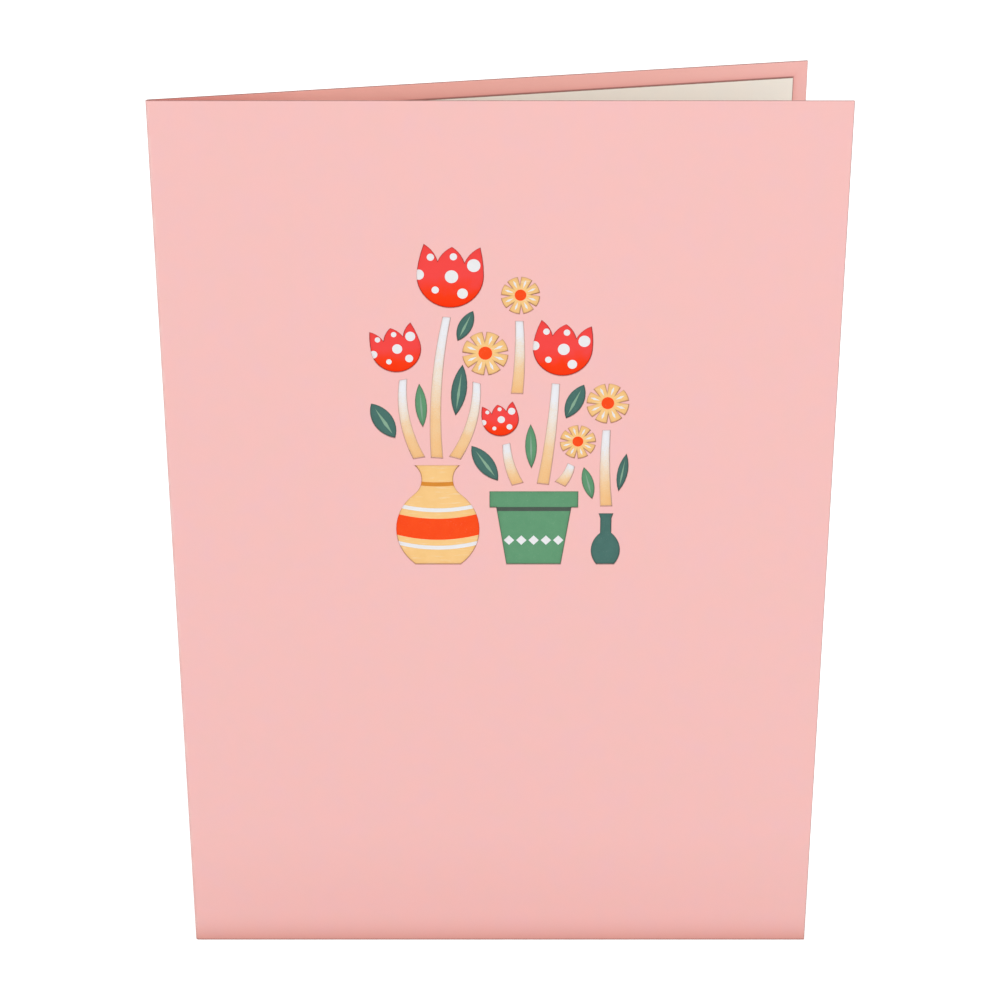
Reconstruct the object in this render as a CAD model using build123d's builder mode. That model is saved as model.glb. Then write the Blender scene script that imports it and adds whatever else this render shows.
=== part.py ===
from build123d import *
from math import atan2, cos, degrees, radians, sin
import os

# A folded greeting card, standing on its foot and opened a little, in millimetres.
# The front panel lies across X and faces -Y, the fold is at -X, and Z is up.
# The origin is the middle of the card's box, on the surface it stands on.

# The two sheets
card_width = 127.0
card_height = 177.8
opening_angle = 14.8
cover_thickness = 0.4
liner_thickness = 0.3
fold_radius = 0.2
liner_side_margin = 3.0
liner_end_margin = 3.1

# The print behind the windows, whose flowers are drawn on a grid. The picture's foot is
# placed by its drop from the card's top edge.
ink_thickness = 0.05
picture_drop = 91.4
grid = 1.0

# The three vessels at the foot of the picture
vase_width = 16.0
vase_height = 20.8
vase_place = -12.0
vase_band_height = 4.4
pot_width = 17.0
pot_height = 15.4
pot_place = 6.5
pot_rim_height = 3.4
pot_step = 1.3
pot_diamonds = 5
bottle_width = 5.6
bottle_height = 10.8
bottle_place = 20.4
line_width = 0.8
bridge = 1.5

# Flowers
stem_head_width = 1.5
stem_foot_width = 2.3
daisy_petals = 8
dot_sides = 20

# Worked out from the sizes above
cover_outside_radius = fold_radius + cover_thickness
panel_length = card_width - cover_outside_radius
opening = radians(opening_angle)
panel_rise = panel_length * sin(opening) + cover_outside_radius * cos(opening)
cover_fold = Vector(
    (cover_outside_radius - panel_length) / 2,
    (cover_outside_radius - panel_rise) / 2,
)
# The liner's fold stands clear of the cover's, where its two panels meet the cover's panels.
nesting = liner_thickness / sin(opening / 2)
liner_fold = cover_fold + Vector(cos(opening / 2), sin(opening / 2)) * nesting
liner_length = cover_fold.X + panel_length - liner_side_margin - liner_fold.X
picture_foot = card_height - picture_drop
# Planes that face out of the front panel, measured along -Y.
print_ground = fold_radius - cover_fold.Y
print_over = print_ground + ink_thickness


def folded_sheet(fold, thickness, length):
    """Section of a sheet folded about a point: two flat panels and the bend between them."""
    front_run = Vector(length, 0)
    back_run = Vector(length * cos(opening), length * sin(opening))
    with BuildSketch() as section:
        with BuildLine():
            outside = CenterArc(fold, fold_radius + thickness, 270, opening_angle - 180)
            inside = CenterArc(fold, fold_radius, 270, opening_angle - 180)
            front_outside = Line(outside @ 0, (outside @ 0) + front_run)
            front_inside = Line(inside @ 0, (inside @ 0) + front_run)
            back_outside = Line(outside @ 1, (outside @ 1) + back_run)
            back_inside = Line(inside @ 1, (inside @ 1) + back_run)
            Line(front_outside @ 1, front_inside @ 1)
            Line(back_outside @ 1, back_inside @ 1)
        make_face()
    return section.sketch


def leaf_shape(length, width):
    """A leaf, pointed at both ends."""
    with BuildSketch() as shape:
        with BuildLine():
            SagittaArc((0, 0), (0, length), width / 2)
            mirror(about=Plane.YZ)
        make_face()
    return shape.sketch


def vein_shape(length, width):
    """The middle rib of a leaf, a slim lozenge inside it."""
    with BuildSketch() as shape:
        with BuildLine():
            Polyline((0, 0.12 * length), (0.09 * width, 0.4 * length), (0, 0.84 * length))
            mirror(about=Plane.YZ)
        make_face()
    return shape.sketch


def stem_shape(length, bow):
    """A stem that narrows upwards and bows to one side, cut straight at both ends."""
    with BuildSketch() as shape:
        with BuildLine():
            left = SagittaArc((-stem_foot_width / 2, 0), (-stem_head_width / 2, length), bow)
            right = SagittaArc((stem_foot_width / 2, 0), (stem_head_width / 2, length), bow)
            Line(left @ 0, right @ 0)
            Line(left @ 1, right @ 1)
        make_face()
    return shape.sketch


def tulip_shape(height, width):
    """A tulip head with a round bowl and three points."""
    with BuildSketch() as shape:
        with BuildLine():
            bowl = TangentArc((0, 0), (0.5 * width, 0.55 * height), tangent=(1, 0))
            side = TangentArc(bowl @ 1, (0.42 * width, height), tangent=bowl % 1)
            notch = ThreePointArc(side @ 1, (0.285 * width, 0.89 * height), (0.2 * width, 0.74 * height))
            ThreePointArc(notch @ 1, (0.12 * width, 0.88 * height), (0, 0.98 * height))
            mirror(about=Plane.YZ)
        make_face()
    return shape.sketch


def tulip_dots(height, width):
    """Dots over a tulip head, all but round, the outermost cut off at its outline."""
    large = [(0.02, 0.5), (0.34, 0.7)]
    middling = [(-0.47, 0.5), (0.2, 0.24)]
    small = [(-0.31, 0.79), (-0.21, 0.27), (0.03, 0.82)]
    with BuildSketch() as dots:
        for radius, places in ((0.1, large), (0.08, middling), (0.055, small)):
            with Locations(*((across * width, up * height) for across, up in places)):
                RegularPolygon(radius * width, dot_sides)
        add(tulip_shape(height, width), mode=Mode.INTERSECT)
    return dots.sketch


def daisy_shape(diameter):
    """A disc with a slim nick between each two petals."""
    with BuildSketch() as shape:
        with Locations((0, diameter / 2)):
            Circle(diameter / 2)
            with PolarLocations(0, daisy_petals):
                Polygon(
                    (0.27 * diameter, 0),
                    (0.56 * diameter, -0.06 * diameter),
                    (0.56 * diameter, 0.06 * diameter),
                    align=None,
                    mode=Mode.SUBTRACT,
                )
    return shape.sketch


def daisy_strokes(diameter):
    """A slim lozenge along the middle of each petal."""
    with BuildSketch() as strokes:
        with Locations((0, diameter / 2)):
            with PolarLocations(0, daisy_petals, start_angle=180 / daisy_petals):
                Polygon(
                    (0.2 * diameter, 0),
                    (0.34 * diameter, -0.03 * diameter),
                    (0.43 * diameter, 0),
                    (0.34 * diameter, 0.03 * diameter),
                    align=None,
                )
    return strokes.sketch


def daisy_eye(diameter):
    """The middle of a daisy, all but round."""
    with BuildSketch() as eye:
        with Locations((0, diameter / 2)):
            RegularPolygon(0.15 * diameter, dot_sides)
    return eye.sketch


def vase_shape():
    """A round-bellied vase with a flared lip."""
    half = vase_width / 2
    with BuildSketch() as shape:
        with BuildLine():
            foot = Line((0, 0), (0.55 * half, 0))
            belly = ThreePointArc(foot @ 1, (half, 0.39 * vase_height), (0.56 * half, 0.71 * vase_height))
            neck = TangentArc(belly @ 1, (0.54 * half, vase_height), tangent=belly % 1)
            Line(neck @ 1, (0, vase_height))
            mirror(about=Plane.YZ)
        make_face()
    return shape.sketch


def vase_stripe(foot, height):
    """A stripe round the vase, sagging as a ring seen from above does."""
    sag = 0.07 * vase_width
    reach = vase_width / 2
    with BuildSketch() as stripe:
        with BuildLine():
            low = SagittaArc((-reach, foot), (reach, foot), -sag)
            high = SagittaArc((-reach, foot + height), (reach, foot + height), -sag)
            Line(low @ 0, high @ 0)
            Line(low @ 1, high @ 1)
        make_face()
        add(vase_shape(), mode=Mode.INTERSECT)
    return stripe.sketch


def pot_shape():
    """A flower pot: a tapered body under a straight rim that steps out."""
    half = pot_width / 2
    body_top = pot_height - pot_rim_height
    with BuildSketch() as shape:
        with BuildLine():
            Polyline(
                (0, 0),
                (0.62 * half, 0),
                (half - pot_step, body_top),
                (half, body_top),
                (half, pot_height),
                (0, pot_height),
            )
            mirror(about=Plane.YZ)
        make_face()
    return shape.sketch


def pot_band():
    """A row of diamonds across the pot's body."""
    pitch = 0.7 * pot_width / pot_diamonds
    with BuildSketch() as band:
        with Locations((0, 0.42 * (pot_height - pot_rim_height))):
            with GridLocations(pitch, 1, pot_diamonds, 1):
                RegularPolygon(0.42 * pitch, 4)
        add(pot_shape(), mode=Mode.INTERSECT)
    return band.sketch


def pot_shade():
    """The shadow that the rim throws on the body."""
    with BuildSketch() as shade:
        with Locations((0, pot_height - pot_rim_height)):
            Rectangle(pot_width, line_width, align=(Align.CENTER, Align.MAX))
        add(pot_shape(), mode=Mode.INTERSECT)
    return shade.sketch


def bottle_shape():
    """A small bottle with a slim neck."""
    half = bottle_width / 2
    with BuildSketch() as shape:
        with BuildLine():
            foot = Line((0, 0), (0.62 * half, 0))
            belly = ThreePointArc(foot @ 1, (half, 0.3 * bottle_height), (0.38 * half, 0.62 * bottle_height))
            neck = Line(belly @ 1, (0.38 * half, 0.9 * bottle_height))
            lip = Line(neck @ 1, (0.5 * half, bottle_height))
            Line(lip @ 1, (0, bottle_height))
            mirror(about=Plane.YZ)
        make_face()
    return shape.sketch


# What grows from each vessel, in steps of the grid, across and up from a point one bridge
# above the middle of its lip. Each piece has its foot and its tip. A stem also has how far
# it bows, and a tulip and a leaf have their width.
vase_plants = {
    "mouth": (vase_place, vase_height + bridge),
    "stem": [
        ((0, 0), (2.1, 28.3), 1.0),
        ((-3.4, 0), (-6.2, 15.9), 1.2),
        ((3.4, 0), (7.6, 15.3), -1.2),
    ],
    "tulip": [
        ((2.4, 30.1), (3.2, 42.1), 12.4),
        ((-6.3, 17.5), (-8.5, 26.3), 9.4),
    ],
    "daisy": [((9.4, 16.8), (9.1, 25.4))],
    "dark_leaf": [
        ((-7.9, 4.1), (-12.3, 11.1), 3.8),
        ((4.1, 23.6), (7.0, 29.5), 2.6),
        ((3.6, 8.7), (5.0, 18.9), 2.9),
    ],
    "light_leaf": [((-2.6, 6.3), (-3.2, 15.1), 2.2)],
}
pot_plants = {
    "mouth": (pot_place, pot_height + bridge),
    "stem": [
        ((1.7, 0), (4.0, 20.5), -0.3),
        ((-3.1, 0), (-5.3, 8.3), 0.5),
        ((5.0, 0), (7.1, 4.0), -0.3),
        ((-3.3, 18.5), (-2.9, 32.9), -0.3),
    ],
    "tulip": [
        ((4.5, 22.1), (5.9, 32.5), 11.2),
        ((-5.8, 9.9), (-7.0, 16.4), 7.0),
    ],
    "daisy": [
        ((-2.5, 34.3), (-2.9, 41.5)),
        ((8.0, 5.3), (8.6, 12.1)),
    ],
    "dark_leaf": [
        ((6.0, 13.5), (9.3, 20.3), 3.2),
        ((-6.9, 0.7), (-11.9, 7.9), 3.4),
    ],
    "light_leaf": [((-0.5, 3.3), (-0.7, 12.3), 2.2)],
}
bottle_plants = {
    "mouth": (bottle_place, bottle_height + bridge),
    "stem": [((0, 0), (-0.2, 15.7), 0.3)],
    "tulip": [],
    "daisy": [((0.2, 17.1), (-0.3, 25.1))],
    "dark_leaf": [((2.3, 3.1), (3.7, 10.9), 2.0)],
    "light_leaf": [((-2.7, 1.5), (-4.4, 8.1), 2.2)],
}


def grow(kind, shape):
    """Add a shape for every piece of one kind, standing on its foot and reaching its tip."""
    for plants in (vase_plants, pot_plants, bottle_plants):
        with Locations(plants["mouth"]):
            for foot, tip, *sizes in plants[kind]:
                reach = (Vector(tip) - Vector(foot)) * grid
                lean = degrees(atan2(-reach.X, reach.Y))
                with Locations(Location(Vector(foot) * grid, (0, 0, lean))):
                    add(shape(reach.length, *(size * grid for size in sizes)))


# Each ink's fields, in the picture's own plane
with BuildSketch() as red_fields:
    grow("tulip", tulip_shape)

with BuildSketch() as ochre_fields:
    grow("daisy", daisy_shape)
    with Locations((vase_place, 0)):
        add(vase_shape())

with BuildSketch() as dark_green_fields:
    grow("dark_leaf", leaf_shape)
    with Locations((bottle_place, 0)):
        add(bottle_shape())

with BuildSketch() as mid_green_fields:
    grow("light_leaf", leaf_shape)
    with Locations((pot_place, 0)):
        add(pot_shape())

with BuildSketch() as cream_fields:
    grow("stem", stem_shape)

with BuildSketch() as white_fields:
    grow("tulip", tulip_dots)
    grow("daisy", daisy_strokes)
    with Locations((pot_place, 0)):
        add(pot_band())
    with Locations((vase_place, 0)):
        for foot in (0.2 * vase_height, 0.58 * vase_height):
            add(vase_stripe(foot, line_width))

with BuildSketch() as orange_fields:
    grow("daisy", daisy_eye)
    with Locations((vase_place, 0)):
        add(vase_stripe(0.3 * vase_height, vase_band_height))

with BuildSketch() as deep_ochre_fields:
    with Locations((vase_place, 0)):
        add(vase_stripe(0.84 * vase_height, line_width))

with BuildSketch() as shade_fields:
    with Locations((pot_place, 0)):
        add(pot_shade())

with BuildSketch() as vein_fields:
    grow("dark_leaf", vein_shape)
    grow("light_leaf", vein_shape)

ground_inks = {
    "print_red": red_fields.sketch,
    "print_ochre": ochre_fields.sketch,
    "print_dark_green": dark_green_fields.sketch,
    "print_mid_green": mid_green_fields.sketch,
    "print_cream": cream_fields.sketch,
}
over_inks = {
    "print_white": white_fields.sketch,
    "print_orange": orange_fields.sketch,
    "print_deep_ochre": deep_ochre_fields.sketch,
    "print_shade": shade_fields.sketch,
    "print_vein": vein_fields.sketch,
}

# The cover: one folded sheet with a window cut for every ground field
with BuildPart() as cover:
    with BuildSketch():
        add(folded_sheet(cover_fold, cover_thickness, panel_length))
    extrude(amount=card_height)
    with BuildSketch(Plane.XZ.offset(print_ground)):
        with Locations((0, picture_foot)):
            for fields in ground_inks.values():
                add(fields)
    extrude(amount=cover_thickness, mode=Mode.SUBTRACT)
cover.part.label = "cover"

# The liner: one folded sheet, face to face with the cover inside both panels
with BuildPart() as liner:
    with BuildSketch(Plane.XY.offset(liner_end_margin)):
        add(folded_sheet(liner_fold, liner_thickness, liner_length))
    extrude(amount=card_height - 2 * liner_end_margin)
liner.part.label = "liner"

os.makedirs("parts", exist_ok=True)
export_step(cover.part, "parts/cover.step")
export_step(liner.part, "parts/liner.step")

# The print: a thin layer on the liner in every window, and the overprint on that. Where
# two fields of a layer meet, the later one stops at the edge of the earlier.
for height, inks in ((print_ground, ground_inks), (print_over, over_inks)):
    printed = []
    for name, fields in inks.items():
        with BuildPart() as layer:
            with BuildSketch(Plane.XZ.offset(height)):
                with Locations((0, picture_foot)):
                    add(fields)
                    for earlier in printed:
                        add(earlier, mode=Mode.SUBTRACT)
            extrude(amount=ink_thickness)
        layer.part.label = name
        export_step(layer.part, f"parts/{name}.step")
        printed.append(fields)
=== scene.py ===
import math
from functools import cached_property

import bmesh
import bpy
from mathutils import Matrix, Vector


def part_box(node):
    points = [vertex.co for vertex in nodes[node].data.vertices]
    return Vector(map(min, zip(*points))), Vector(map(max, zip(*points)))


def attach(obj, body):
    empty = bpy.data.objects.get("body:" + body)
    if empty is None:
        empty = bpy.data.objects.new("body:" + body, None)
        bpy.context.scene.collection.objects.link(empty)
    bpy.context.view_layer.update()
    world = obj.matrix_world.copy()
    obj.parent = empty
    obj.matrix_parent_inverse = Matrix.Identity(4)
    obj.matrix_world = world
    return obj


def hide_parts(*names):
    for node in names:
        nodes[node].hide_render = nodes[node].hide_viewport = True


# A greeting card standing open on a pale table. Everything is in metres, in the frame of
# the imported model: the front panel faces -Y, the fold is at -X and Z is up.
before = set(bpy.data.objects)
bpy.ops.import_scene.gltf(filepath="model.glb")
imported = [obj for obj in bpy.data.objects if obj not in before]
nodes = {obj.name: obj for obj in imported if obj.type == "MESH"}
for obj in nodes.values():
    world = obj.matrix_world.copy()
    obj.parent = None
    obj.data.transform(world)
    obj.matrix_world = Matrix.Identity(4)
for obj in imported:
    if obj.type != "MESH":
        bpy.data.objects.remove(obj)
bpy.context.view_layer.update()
mm = 0.001

cover_low, cover_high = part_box("cover")
liner_low, liner_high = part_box("liner")

# How far the cut edges of both sheets are rolled over.
rollover = 0.1 * mm
# How far the front panel reaches back from a sheet's front, and the bend in from its fold.
panel_reach = 1.2 * mm
# The strip of print that is in the shadow of its window's wall.
rim_width = 0.16 * mm
# Where the windows are: this far to each side of the middle, and from this foot to this top.
windows_reach = 50 * mm
windows_foot = 60 * mm
windows_top = 165 * mm


def tone(red, green, blue):
    """A colour as it looks on screen, 0 to 255, given in the scene's own linear values."""
    linear = []
    for part in (red, green, blue):
        part = part / 255
        linear.append(part / 12.92 if part <= 0.04045 else ((part + 0.055) / 1.055) ** 2.4)
    return (*linear, 1.0)


def scaled(colour, red, green, blue):
    """A colour with each of its parts made stronger or weaker."""
    return (colour[0] * red, colour[1] * green, colour[2] * blue, 1.0)


class Shade:
    """A value inside a material, on which sums can be written."""

    def __init__(self, finish, socket):
        self.finish = finish
        self.socket = socket

    def sum(self, operation, first, second):
        return self.finish.node("ShaderNodeMath", {0: first, 1: second}, operation=operation)

    def __add__(self, other):
        return self.sum("ADD", self, other)

    def __radd__(self, other):
        return self.sum("ADD", other, self)

    def __sub__(self, other):
        return self.sum("SUBTRACT", self, other)

    def __rsub__(self, other):
        return self.sum("SUBTRACT", other, self)

    def __mul__(self, other):
        return self.sum("MULTIPLY", self, other)

    def __rmul__(self, other):
        return self.sum("MULTIPLY", other, self)

    def or_more(self, other):
        """The larger of the two."""
        return self.sum("MAXIMUM", self, other)

    def between(self, low, high):
        """0 below low, 1 above high, and a straight slope from one to the other."""
        return self.finish.node(
            "ShaderNodeMapRange", {"Value": self, "From Min": low, "From Max": high}, clamp=True
        )

    def smooth_between(self, low, high):
        """0 below low, 1 above high, with a soft start and end."""
        return self.finish.node(
            "ShaderNodeMapRange",
            {"Value": self, "From Min": low, "From Max": high},
            interpolation_type="SMOOTHSTEP",
        )


class Finish:
    """The nodes of a material or of the room, with patterns on the object's own coordinates
    and attributes."""

    def __init__(self, owner):
        self.owner = owner
        owner.use_nodes = True
        self.tree = owner.node_tree
        self.tree.nodes.clear()

    def node(self, kind, sockets=None, output=0, stops=None, **settings):
        """One node with its settings, then the values or links of its sockets."""
        made = self.tree.nodes.new(kind)
        for name, value in settings.items():
            setattr(made, name, value)
        if stops:
            ramp = made.color_ramp
            while len(ramp.elements) < len(stops):
                ramp.elements.new(0.5)
            for element, (position, colour) in zip(ramp.elements, stops):
                element.position = position
                element.color = colour
        for name, value in (sockets or {}).items():
            if isinstance(value, Shade):
                self.tree.links.new(value.socket, made.inputs[name])
            else:
                made.inputs[name].default_value = value
        return Shade(self, made.outputs[output] if made.outputs else None)

    @cached_property
    def place(self):
        return self.node("ShaderNodeTexCoord", output="Object")

    @cached_property
    def seen(self):
        """1 where a surface is looked at, straight or in a reflection, 0 where it gives light."""
        rays = [
            self.node("ShaderNodeLightPath", output=f"Is {kind} Ray")
            for kind in ("Camera", "Glossy", "Transmission")
        ]
        return (rays[0] + rays[1] + rays[2]).between(0.0, 1.0)

    def along(self, axis):
        return self.node("ShaderNodeSeparateXYZ", {0: self.place}, output=axis)

    def attribute(self, name):
        return self.node("ShaderNodeAttribute", output="Fac", attribute_name=name)

    def grain(self, size, detail=2.0, stretch=(1.0, 1.0, 1.0), roughness=0.5, distortion=0.0):
        """Soft noise, with spots of about this size, drawn out along an axis by its stretch."""
        place = self.node(
            "ShaderNodeMapping", {"Vector": self.place, "Scale": tuple(1 / s for s in stretch)}
        )
        return self.node(
            "ShaderNodeTexNoise",
            {
                "Vector": place,
                "Scale": 1 / size,
                "Detail": detail,
                "Roughness": roughness,
                "Distortion": distortion,
            },
        )

    def mix(self, share, first, second):
        """The first colour, giving way to the second as the share goes from 0 to 1."""
        return self.node(
            "ShaderNodeMix", {0: share, 6: first, 7: second}, output=2, data_type="RGBA"
        )

    def bump(self, height, strength, distance):
        return self.node(
            "ShaderNodeBump", {"Height": height, "Strength": strength, "Distance": distance}
        )

    def paper(self, colour, roughness, normal, gloss):
        """Ends the material with a matt surface."""
        shader = self.node(
            "ShaderNodeBsdfPrincipled",
            {
                "Base Color": colour,
                "Roughness": roughness,
                "Specular IOR Level": gloss,
                "Normal": normal,
            },
        )
        self.node("ShaderNodeOutputMaterial", {"Surface": shader})
        return self.owner

    def printed(self, colour, shadow, specks, relief, gloss):
        """Ends the material as print, with painted shade where it meets the wall of its window.
        """
        colour = self.mix(self.attribute("rim"), colour, shadow)
        normal = self.bump(relief, 0.12, 0.02 * mm)
        return self.paper(colour, 0.62 + specks * 0.12, normal, gloss)


def clouded(finish, fibres, warm, cool):
    """The colour of the stock, in soft clouds, with a few paler fibres."""
    clouds = finish.grain(6 * mm, detail=3.0, roughness=0.55)
    blush = finish.grain(4 * mm)
    colour = finish.mix(clouds.between(0.3, 0.7), warm, cool)
    redder = scaled(warm, 1.03, 0.99, 1.0)
    colour = finish.mix(blush.between(0.35, 0.65) * 0.7, colour, redder)
    paler = scaled(cool, 1.05, 1.05, 1.05)
    return finish.mix(fibres.smooth_between(0.56, 0.78) * 0.1, colour, paler)


def inside_with_painted_light(finish, colour, inner, painted_shade_tone):
    """The inner side, with painted bounce light and painted shade that grow from the open edge to
    the fold.
    """
    inside = finish.attribute("inside")
    out = finish.attribute("out")
    depth = 1 - out.between(43 * mm, 138 * mm)
    # Painted bounce light: a warmer tint on the inner side, strongest at the fold.
    colour = finish.mix(inside * (0.35 + depth * 0.65), colour, inner)
    by_fold = 1 - out.between(0.0, 28 * mm)
    # Painted shade in the fold.
    return finish.mix(inside * by_fold * 0.7, colour, painted_shade_tone)


def painted_shade_round_liner(finish, colour, glued, shaded, line):
    """Painted shade round a sheet that is glued inside, and a dark line at its edge, partly
    glue and partly painted shadow; the sheet's end along the panel, top and foot are given."""
    end, top, foot = glued
    inside = finish.attribute("inside")
    height = finish.along("Z")
    away = (finish.attribute("out") - end).or_more(height - top).or_more(foot - height)
    near = 1 - away.between(0.0, 2.0 * mm)
    # Painted shade, fading out 2 mm from the sheet's edge.
    colour = finish.mix(inside * near * near * near * 0.5, colour, shaded)
    close = 1 - away.between(0.12 * mm, 0.3 * mm)
    # The dark line at the edge: glue, with painted shadow.
    return finish.mix(inside * close * 0.6, colour, line)


def worn_fold(finish, colour, crease, dark_line):
    """The outside of the fold, rubbed paler in patches, and darker along its crest."""
    left = finish.along("X") - cover_low.x
    near_fold = 1 - left.smooth_between(0.1 * mm, 0.9 * mm)
    patches = finish.grain(1.2 * mm, detail=4.0, stretch=(1, 1, 3)).between(0.42, 0.62)
    colour = finish.mix(near_fold * patches * crease, colour, tone(252, 222, 216))
    crest = 1 - left.between(0.04 * mm, 0.16 * mm)
    return finish.mix(crest * 0.35, colour, dark_line)


def painted_shade_at_foot(finish, colour, foot_shade_tone, dark_line):
    """Painted shade at the foot, darker towards the bottom, with a painted contact shadow along
    the very foot.
    """
    height = finish.along("Z")
    # Faint painted shade from 26 mm down to 9 mm.
    lower_part = 1 - height.between(9 * mm, 26 * mm)
    colour = finish.mix(lower_part * 0.1, colour, foot_shade_tone)
    # Strong painted shade in the last 9 mm.
    near_foot = 1 - height.between(0.0, 9 * mm)
    colour = finish.mix(near_foot * near_foot * near_foot * 0.9, colour, foot_shade_tone)
    # A painted contact shadow in the last 0.4 mm.
    at_contact = 1 - height.between(0.15 * mm, 0.4 * mm)
    return finish.mix(at_contact * 0.5, colour, dark_line)


def card_stock(name, warm, cool, inner, painted_shade_tone, foot_shade_tone, cut_edge, crease, glued=None):
    """Uncoated card with a fine tooth and darker cut edges; painted bounce light and painted
    shade inside, painted shade round the liner and at the foot.
    """
    finish = Finish(bpy.data.materials.new(name))
    fibres = finish.grain(0.5 * mm, detail=4.0, roughness=0.65, distortion=0.6)
    tooth = finish.grain(0.16 * mm)
    colour = clouded(finish, fibres, warm, cool)
    # Painted bounce light and painted shade inside.
    colour = inside_with_painted_light(finish, colour, inner, painted_shade_tone)
    # Painted shade and a dark line round the liner, partly glue and partly painted shadow.
    if glued:
        colour = painted_shade_round_liner(finish, colour, glued, painted_shade_tone, cut_edge)
    colour = worn_fold(finish, colour, crease, cut_edge)
    # Painted shade at the foot.
    colour = painted_shade_at_foot(finish, colour, foot_shade_tone, cut_edge)
    uneven = 0.8 + finish.grain(0.9 * mm, detail=3.0).between(0.3, 0.7) * 0.2
    colour = finish.mix(finish.attribute("cut") * uneven, colour, cut_edge)
    normal = finish.bump(fibres * 0.6 + tooth * 0.4, 0.16, 0.03 * mm)
    return finish.paper(colour, 0.78 + fibres * 0.12, normal, gloss=0.25)


def ink(name, colour, deeper, gloss=0.35):
    """Flat printed ink: uneven coverage over the paper's tooth."""
    finish = Finish(bpy.data.materials.new(name))
    patches = finish.grain(1.6 * mm, detail=4.0, roughness=0.6)
    specks = finish.grain(0.22 * mm)
    tint = finish.mix(patches.between(0.35, 0.65) * 0.5, colour, deeper)
    tint = finish.mix(specks.smooth_between(0.6, 0.8) * 0.06, tint, tone(255, 250, 244))
    return finish.printed(tint, scaled(deeper, 0.5, 0.5, 0.5), specks, specks, gloss)


def airbrushed(name, stops, spatter, shadow, gloss=0.35):
    """Ink that changes along each piece from its foot to its tip, with a sprayed, grainy edge."""
    finish = Finish(bpy.data.materials.new(name))
    drift = finish.grain(2.4 * mm, detail=3.0)
    specks = finish.grain(0.2 * mm)
    level = finish.attribute("rise") + (drift - 0.5) * 0.35 + (specks - 0.5) * spatter
    tint = finish.node("ShaderNodeValToRGB", {"Fac": level}, stops=stops)
    return finish.printed(tint, shadow, specks, specks, gloss)


def brushed(name, colour, deeper, streak):
    """Ink laid on with a dry brush that leaves faint level streaks."""
    finish = Finish(bpy.data.materials.new(name))
    patches = finish.grain(2.2 * mm, detail=3.0)
    bristles = finish.grain(0.35 * mm, detail=4.0, stretch=(9, 9, 1), roughness=0.6)
    specks = finish.grain(0.22 * mm)
    tint = finish.mix(patches.between(0.35, 0.65) * 0.5, colour, deeper)
    tint = finish.mix(bristles.smooth_between(0.54, 0.72) * 0.35, tint, streak)
    return finish.printed(tint, scaled(deeper, 0.5, 0.5, 0.5), specks, bristles, gloss=0.35)


def copy_of(node):
    """A closed mesh with a node's own shape, ready to be worked on."""
    shape = bmesh.new()
    shape.from_mesh(nodes[node].data)
    bmesh.ops.remove_doubles(shape, verts=shape.verts, dist=0.0005 * mm)
    bmesh.ops.dissolve_limit(
        shape, angle_limit=math.radians(0.5), verts=shape.verts, edges=shape.edges
    )
    return shape


def finished(shape, name, node, material):
    """Turns a worked mesh into the piece that stands for a node."""
    mesh = bpy.data.meshes.new(name)
    shape.to_mesh(mesh)
    shape.free()
    mesh.materials.append(material)
    piece = bpy.data.objects.new(name, mesh)
    bpy.context.scene.collection.objects.link(piece)
    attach(piece, "root")
    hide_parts(node)


def roll_over(shape, kept_sharp):
    """Rolls the cut edges over, apart from those that lie where they are kept sharp."""
    edges = [
        edge
        for edge in shape.edges
        if len(edge.link_faces) == 2
        and edge.calc_face_angle() > math.radians(50)
        and not all(kept_sharp(vertex.co) for vertex in edge.verts)
    ]
    bmesh.ops.bevel(
        shape,
        geom=edges,
        offset=rollover,
        segments=2,
        profile=0.5,
        affect="EDGES",
        material=-1,
        clamp_overlap=False,
    )
    shape.normal_update()


def cut_sheet(node, name, material, kept_sharp, darkness):
    """A folded sheet whose cut edges are rolled over a little. Every point of it knows how
    dark the cut is there, whether it is on the inner side, and how far out from the fold it
    is along its panel. Darkness gives the cut's near a point, on its wall and where the flat
    begins."""
    shape = copy_of(node)
    roll_over(shape, kept_sharp)
    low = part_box(node)[0]
    bend = low.x + panel_reach

    def is_wall(face):
        middle = face.calc_center_median()
        return abs(face.normal.z) > 0.9 or (abs(face.normal.y) < 0.3 and middle.x > bend)

    def is_flat(face):
        return abs(face.normal.z) < 0.01 and (
            abs(face.normal.y) > 0.96 or face.calc_center_median().x < bend
        )

    walls = {face for face in shape.faces if is_wall(face)}
    flats = {face for face in shape.faces if face not in walls and is_flat(face)}
    on_wall = {vertex for face in walls for vertex in face.verts}
    on_flat = {vertex for face in flats for vertex in face.verts}
    fold = Vector((low.x + 0.5 * mm, low.y + 0.5 * mm, 0))
    behind = [face for face in flats if face.calc_center_median().y > low.y + 2 * mm]
    tilt = max(behind, key=lambda face: face.calc_area()).normal
    back_panel = Vector((abs(tilt.y), abs(tilt.x), 0))
    front_panel = Vector((1, 0, 0))
    cut = shape.loops.layers.float.new("cut")
    inside = shape.loops.layers.float.new("inside")
    out = shape.loops.layers.float.new("out")
    for face in shape.faces:
        middle = face.calc_center_median()
        on_front = middle.y < low.y + panel_reach
        panel = front_panel if on_front else back_panel
        if middle.x < bend:
            inner = 1.0 if (middle - fold).xy.dot(face.normal.xy) < 0 else 0.0
        else:
            inner = 1.0 if (face.normal.y > 0) == on_front else 0.0
        wall, rim = darkness(middle)
        for loop in face.loops:
            loop[inside] = inner
            loop[out] = (loop.vert.co - fold).dot(panel)
            if face in flats:
                loop[cut] = 0.0
            elif face in walls or loop.vert in on_wall:
                loop[cut] = wall
            else:
                loop[cut] = rim if loop.vert in on_flat else (wall + rim) / 2
        face.smooth = face not in walls and middle.x < bend
    finished(shape, name, node, material)


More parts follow.
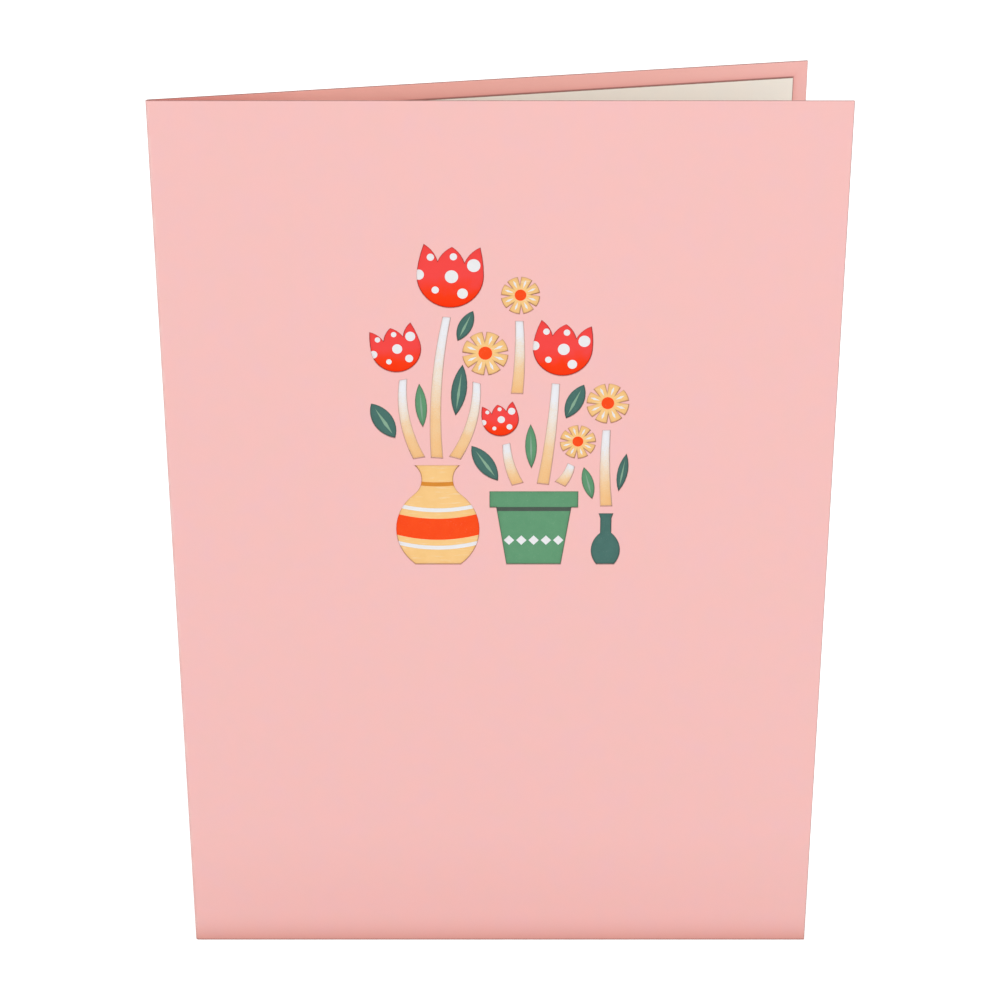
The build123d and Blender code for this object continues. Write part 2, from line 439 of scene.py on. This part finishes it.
def printed_field(node, name, material):
    """A print node whose every field knows how far up it a point is, from 0 to 1, and how
    near to its rim, where it is in the shadow of the window's wall."""
    shape = copy_of(node)
    shape.normal_update()
    fronts = [face for face in shape.faces if face.normal.y < -0.9]
    bmesh.ops.inset_region(shape, faces=fronts, thickness=rim_width, use_even_offset=True)
    rim = shape.verts.layers.float.new("rim")
    inner = {vertex for face in fronts for vertex in face.verts}
    for vertex in shape.verts:
        vertex[rim] = 0.0 if vertex in inner else 1.0
    rise = shape.verts.layers.float.new("rise")
    left = set(shape.verts)
    while left:
        field = {left.pop()}
        reached = list(field)
        while reached:
            vertex = reached.pop()
            for edge in vertex.link_edges:
                other = edge.other_vert(vertex)
                if other in left:
                    left.remove(other)
                    field.add(other)
                    reached.append(other)
        foot = min(vertex.co.z for vertex in field)
        tip = max(vertex.co.z for vertex in field)
        for vertex in field:
            vertex[rise] = (vertex.co.z - foot) / (tip - foot)
    finished(shape, name, node, material)


# The camera stands where the photograph was taken from: in front of the card and above it,
# looking down. The lens is shifted because the photograph's middle is below its axis.
camera_distance = 398.48 * mm
camera_height = 272.47 * mm
degrees_down = 22.485
lens = bpy.data.cameras.new("camera")
lens.lens = 81.43
lens.sensor_width = 36.0
lens.shift_y = -0.0361
lens.clip_start = 0.01
camera = bpy.data.objects.new("camera", lens)
camera.location = (0.0, cover_low.y - camera_distance, camera_height)
camera.rotation_euler = (math.radians(90 - degrees_down), 0, 0)
bpy.context.scene.collection.objects.link(camera)
bpy.context.scene.camera = camera

# Finishes
pink_card = card_stock(
    "pink_card",
    warm=tone(244, 193, 188),
    cool=tone(244, 192, 192),
    # Painted bounce light inside, towards the fold.
    inner=tone(250, 184, 173),
    # Painted shade towards the fold and round the liner.
    painted_shade_tone=tone(228, 140, 132),
    # Painted shade at the foot.
    foot_shade_tone=tone(218, 152, 140),
    # Scorched cut edges; also the colour of the painted shadow lines round the liner and at the
    # foot.
    cut_edge=tone(128, 90, 82),
    crease=0.5,
    glued=(liner_high.x - cover_low.x - 0.5 * mm, liner_high.z, liner_low.z),
)
cream_paper = card_stock(
    "cream_paper",
    warm=tone(243, 237, 225),
    cool=tone(240, 236, 228),
    # Painted bounce light inside, towards the fold.
    inner=tone(246, 240, 229),
    # Painted shade towards the fold.
    painted_shade_tone=tone(240, 222, 204),
    # Painted shade at the foot.
    foot_shade_tone=tone(232, 220, 202),
    cut_edge=tone(132, 94, 78),
    crease=0.0,
)
red_ink = airbrushed(
    "red_ink",
    [(0.0, tone(251, 53, 0)), (0.2, tone(250, 60, 17)), (0.48, tone(245, 73, 70))],
    spatter=0.12,
    shadow=tone(70, 3, 1),
    gloss=0.1,
)
stem_ink = airbrushed(
    "stem_ink",
    [
        (0.0, tone(243, 192, 130)),
        (0.3, tone(243, 205, 155)),
        (0.6, tone(240, 228, 212)),
        (0.85, tone(237, 241, 246)),
    ],
    spatter=0.5,
    shadow=tone(214, 194, 174),
)
ochre_ink = brushed("ochre_ink", tone(248, 203, 135), tone(243, 196, 124), tone(250, 236, 212))
dark_green_ink = ink("dark_green_ink", tone(67, 111, 103), tone(58, 102, 94))
mid_green_ink = ink("mid_green_ink", tone(95, 153, 113), tone(86, 145, 106))
white_ink = ink("white_ink", tone(236, 237, 239), tone(231, 231, 231))
orange_ink = ink("orange_ink", tone(251, 79, 24), tone(248, 70, 18), gloss=0.12)
deep_ochre_ink = ink("deep_ochre_ink", tone(217, 138, 39), tone(208, 128, 34))
shade_ink = ink("shade_ink", tone(70, 84, 74), tone(60, 74, 66))
vein_ink = ink("vein_ink", tone(134, 172, 146), tone(124, 162, 136))


def in_the_picture(point):
    """Whether a point of the cover is at one of its windows."""
    on_front = point.y < liner_low.y + 0.1 * mm
    across = abs(point.x) < windows_reach
    return on_front and across and windows_foot < point.z < windows_top


def on_the_liner(point):
    """Whether a point of the cover is where a window's wall meets the liner."""
    return in_the_picture(point) and abs(point.y - liner_low.y) < 0.01 * mm


def nowhere(point):
    """The liner has no edge that stays sharp."""
    return False


def cover_darkness(point):
    if in_the_picture(point):
        return 0.45, 0.05
    if point.z > cover_high.z - 1 * mm:
        return (0.5, 0.1) if point.y < cover_low.y + panel_reach else (0.85, 0.3)
    if point.z < 1 * mm:
        return 0.8, 0.5
    return 1.0, 0.9


def liner_darkness(point):
    return 1.0, 0.15


# The two sheets. The windows' inner edges lie on the liner, so they stay sharp.
cut_sheet("cover", "card_cover", pink_card, on_the_liner, cover_darkness)
cut_sheet("liner", "card_liner", cream_paper, nowhere, liner_darkness)

# The print: first what lies on the liner, then what lies on that.
for node, name, material in (
    ("print_red", "ink_red", red_ink),
    ("print_cream", "ink_stems", stem_ink),
    ("print_ochre", "ink_ochre", ochre_ink),
    ("print_dark_green", "ink_dark_green", dark_green_ink),
    ("print_mid_green", "ink_mid_green", mid_green_ink),
):
    printed_field(node, name, material)
for node, material in (
    ("print_white", white_ink),
    ("print_orange", orange_ink),
    ("print_deep_ochre", deep_ochre_ink),
    ("print_shade", shade_ink),
    ("print_vein", vein_ink),
):
    nodes[node].data.materials.clear()
    nodes[node].data.materials.append(material)

# The table: plain and pale. It reads as white to the camera and keeps the card's shadow.
table_reach = 4.0
table_grey = 0.85
table_lift = 0.5
table_top = bmesh.new()
bmesh.ops.create_grid(table_top, x_segments=1, y_segments=1, size=table_reach)
table_mesh = bpy.data.meshes.new("table")
table_top.to_mesh(table_mesh)
table_top.free()
table = bpy.data.objects.new("table", table_mesh)
bpy.context.scene.collection.objects.link(table)
table_finish = Finish(bpy.data.materials.new("table"))
matt = table_finish.node(
    "ShaderNodeBsdfDiffuse", {"Color": (table_grey, table_grey, table_grey, 1)}
)
lift = table_finish.node(
    "ShaderNodeEmission", {"Color": (1, 1, 1, 1), "Strength": table_finish.seen * table_lift}
)
both = table_finish.node("ShaderNodeAddShader", {0: matt, 1: lift})
table_finish.node("ShaderNodeOutputMaterial", {"Surface": both})
table_mesh.materials.append(table_finish.owner)

# Light: an even pale room, a wide soft lamp above and in front, and a weaker one behind.
room_light = 0.8
room = Finish(bpy.data.worlds.new("room"))
glow = room.node(
    "ShaderNodeBackground",
    {"Color": (1, 1, 1, 1), "Strength": room_light + room.seen * (1 - room_light)},
)
room.node("ShaderNodeOutputWorld", {"Surface": glow})
bpy.context.scene.world = room.owner

lamp_size = 0.9
card_middle = Vector((0, 0, 0.09))
for name, place, watts in (
    ("front_lamp", Vector((0.3, -1.4, 0.6)), 5.7),
    ("back_lamp", Vector((-0.5, 1.4, 0.5)), 2.6),
):
    light = bpy.data.lights.new(name, "AREA")
    light.size = lamp_size
    light.energy = watts
    lamp = bpy.data.objects.new(name, light)
    lamp.location = place
    lamp.rotation_euler = (card_middle - place).to_track_quat("-Z", "Y").to_euler()
    bpy.context.scene.collection.objects.link(lamp)

bpy.context.scene.view_settings.view_transform = "Standard"
bpy.context.view_layer.update()
